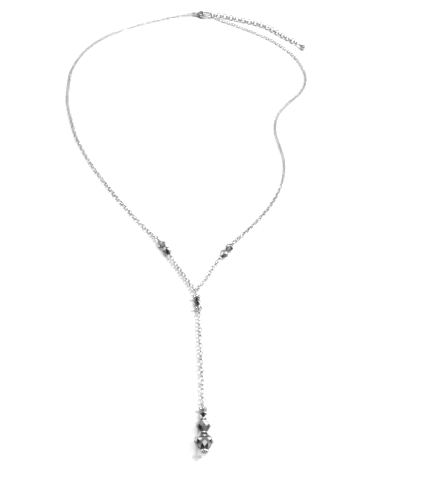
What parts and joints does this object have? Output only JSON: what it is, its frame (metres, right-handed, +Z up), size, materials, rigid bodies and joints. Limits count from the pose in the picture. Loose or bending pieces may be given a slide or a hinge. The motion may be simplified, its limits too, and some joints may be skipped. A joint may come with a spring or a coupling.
{
  "type": "y necklace",
  "caption": "Y necklace of fine silver-coloured cable chain with dark cut beads, a beaded drop, a lobster clasp and an extender, laid flat.",
  "frame": {"origin": "middle of the outline, on the surface that the necklace lies on", "axes": "+Z up from the surface, +Y from the pendant towards the clasp, +X to the side of the extender"},
  "size_m": [0.1216, 0.2435, 0.0061],
  "materials": {
    "silver": "polished silver-coloured plating",
    "crystal": "cut and polished, metallic grey coating"
  },
  "bodies": {
    "necklace": {"left_back_chain": "silver", "right_back_chain": "silver", "left_front_chain": "silver", "right_front_chain": "silver", "drop_chain": "silver", "extender_chain": "silver", "clasp_body": "silver", "clasp_rivet": "silver", "clasp_ring": "silver", "end_ring": "silver", "extender_tag": "silver", "left_bead_pin": "silver", "left_upper_bead": "crystal", "left_lower_bead": "crystal", "right_bead_pin": "silver", "right_upper_bead": "crystal", "right_lower_bead": "crystal", "junction_ring": "silver", "y_pin": "silver", "y_upper_cap": "silver", "y_bead": "crystal", "y_lower_cap": "silver", "pendant_ring": "silver", "pendant_pin": "silver", "pendant_cap": "silver", "small_bead": "crystal", "disc_spacer": "silver", "middle_bead": "crystal", "round_spacer": "silver", "large_bead": "crystal", "foot_flower": "silver"},
    "lever": {"clasp_lever": "silver"}
  },
  "joints": [
    {"name": "lever_hinge", "type": "hinge", "parent": "necklace", "child": "lever", "pos_m": [0.00547, 0.11787, 0.0012], "axis": [0, 0, 1], "range_deg": [0, 30], "stiffness_Nm_per_rad": 0.005, "springref_deg": -17.19}
  ]
}
